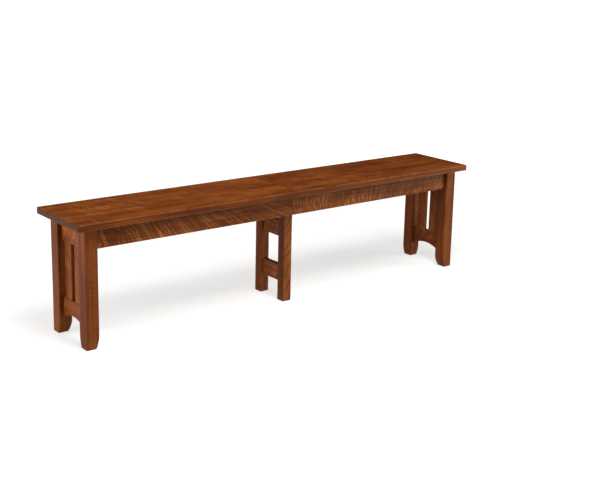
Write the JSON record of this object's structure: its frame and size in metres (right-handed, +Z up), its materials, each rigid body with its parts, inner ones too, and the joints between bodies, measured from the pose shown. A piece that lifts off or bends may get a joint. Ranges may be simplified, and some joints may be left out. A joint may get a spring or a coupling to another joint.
{
  "type": "extending bench",
  "caption": "Long narrow oak bench in two halves that pull apart on geared slides over a fixed centre frame, with slatted end frames and deep aprons.",
  "frame": {"origin": "middle of the closed bench, on the floor", "axes": "+X along the length to the right half, +Y to the back, +Z up"},
  "size_m": [1.83, 0.313, 0.4525],
  "materials": {
    "seat_oak": "stained quarter-sawn oak, satin lacquer",
    "apron_oak": "stained quarter-sawn oak with ray fleck, satin lacquer",
    "leg_oak": "stained quarter-sawn oak, satin lacquer",
    "end_frame_oak": "stained oak, satin lacquer",
    "centre_frame_oak": "stained oak, satin lacquer",
    "slide_beech": "planed beech, waxed",
    "inner_hardwood": "sawn hardwood, unfinished",
    "gear_steel": "machined steel",
    "zinc_steel": "zinc-plated steel"
  },
  "bodies": {
    "centre_frame": {"centre_leg_front": "centre_frame_oak", "centre_leg_back": "centre_frame_oak", "centre_upper_stretcher": "centre_frame_oak", "centre_lower_stretcher": "centre_frame_oak", "slide_bolster": "inner_hardwood", "slide_middle_front": "slide_beech", "slide_middle_back": "slide_beech", "pinion_axles": "zinc_steel", "stop_pins": "zinc_steel", "bolster_screws": "zinc_steel"},
    "left_half": {"left_seat_top": "seat_oak", "left_leg_front": "leg_oak", "left_leg_back": "leg_oak", "left_apron_front": "apron_oak", "left_apron_back": "apron_oak", "left_upper_rail": "end_frame_oak", "left_lower_rail": "end_frame_oak", "left_slat_front": "end_frame_oak", "left_slat_back": "end_frame_oak", "left_slide_front": "slide_beech", "left_slide_back": "slide_beech", "left_rack_front": "gear_steel", "left_rack_back": "gear_steel", "left_packing_strips": "inner_hardwood", "left_cleats": "inner_hardwood", "left_corner_braces": "inner_hardwood", "left_leg_bolts": "zinc_steel", "left_screws": "zinc_steel", "left_alignment_pins": "zinc_steel"},
    "right_half": {"right_seat_top": "seat_oak", "right_leg_front": "leg_oak", "right_leg_back": "leg_oak", "right_apron_front": "apron_oak", "right_apron_back": "apron_oak", "right_upper_rail": "end_frame_oak", "right_lower_rail": "end_frame_oak", "right_slat_front": "end_frame_oak", "right_slat_back": "end_frame_oak", "right_slide_front": "slide_beech", "right_slide_back": "slide_beech", "right_rack_front": "gear_steel", "right_rack_back": "gear_steel", "right_packing_strips": "inner_hardwood", "right_cleats": "inner_hardwood", "right_corner_braces": "inner_hardwood", "right_leg_bolts": "zinc_steel", "right_screws": "zinc_steel"},
    "pinion_front": {"pinion_front": "gear_steel"},
    "pinion_back": {"pinion_back": "gear_steel"}
  },
  "joints": [
    {"name": "left_slide", "type": "slide", "parent": "centre_frame", "child": "left_half", "axis": [-1, 0, 0], "range_m": [0, 0.305]},
    {"name": "right_slide", "type": "slide", "parent": "centre_frame", "child": "right_half", "axis": [1, 0, 0], "range_m": [0, 0.305]},
    {"name": "front_pinion_turn", "type": "hinge", "parent": "centre_frame", "child": "pinion_front", "pos_m": [0, -0.055, 0.4185], "axis": [0, 0, 1], "range_deg": [-1000, 0]},
    {"name": "back_pinion_turn", "type": "hinge", "parent": "centre_frame", "child": "pinion_back", "pos_m": [0, 0.055, 0.4185], "axis": [0, 0, 1], "range_deg": [-1000, 0]}
  ],
  "couplings": [
    {"joint": "right_slide", "follows": "left_slide", "ratio": 1},
    {"joint": "front_pinion_turn", "follows": "left_slide", "rad_per_m": -57.143},
    {"joint": "back_pinion_turn", "follows": "left_slide", "rad_per_m": -57.143}
  ]
}
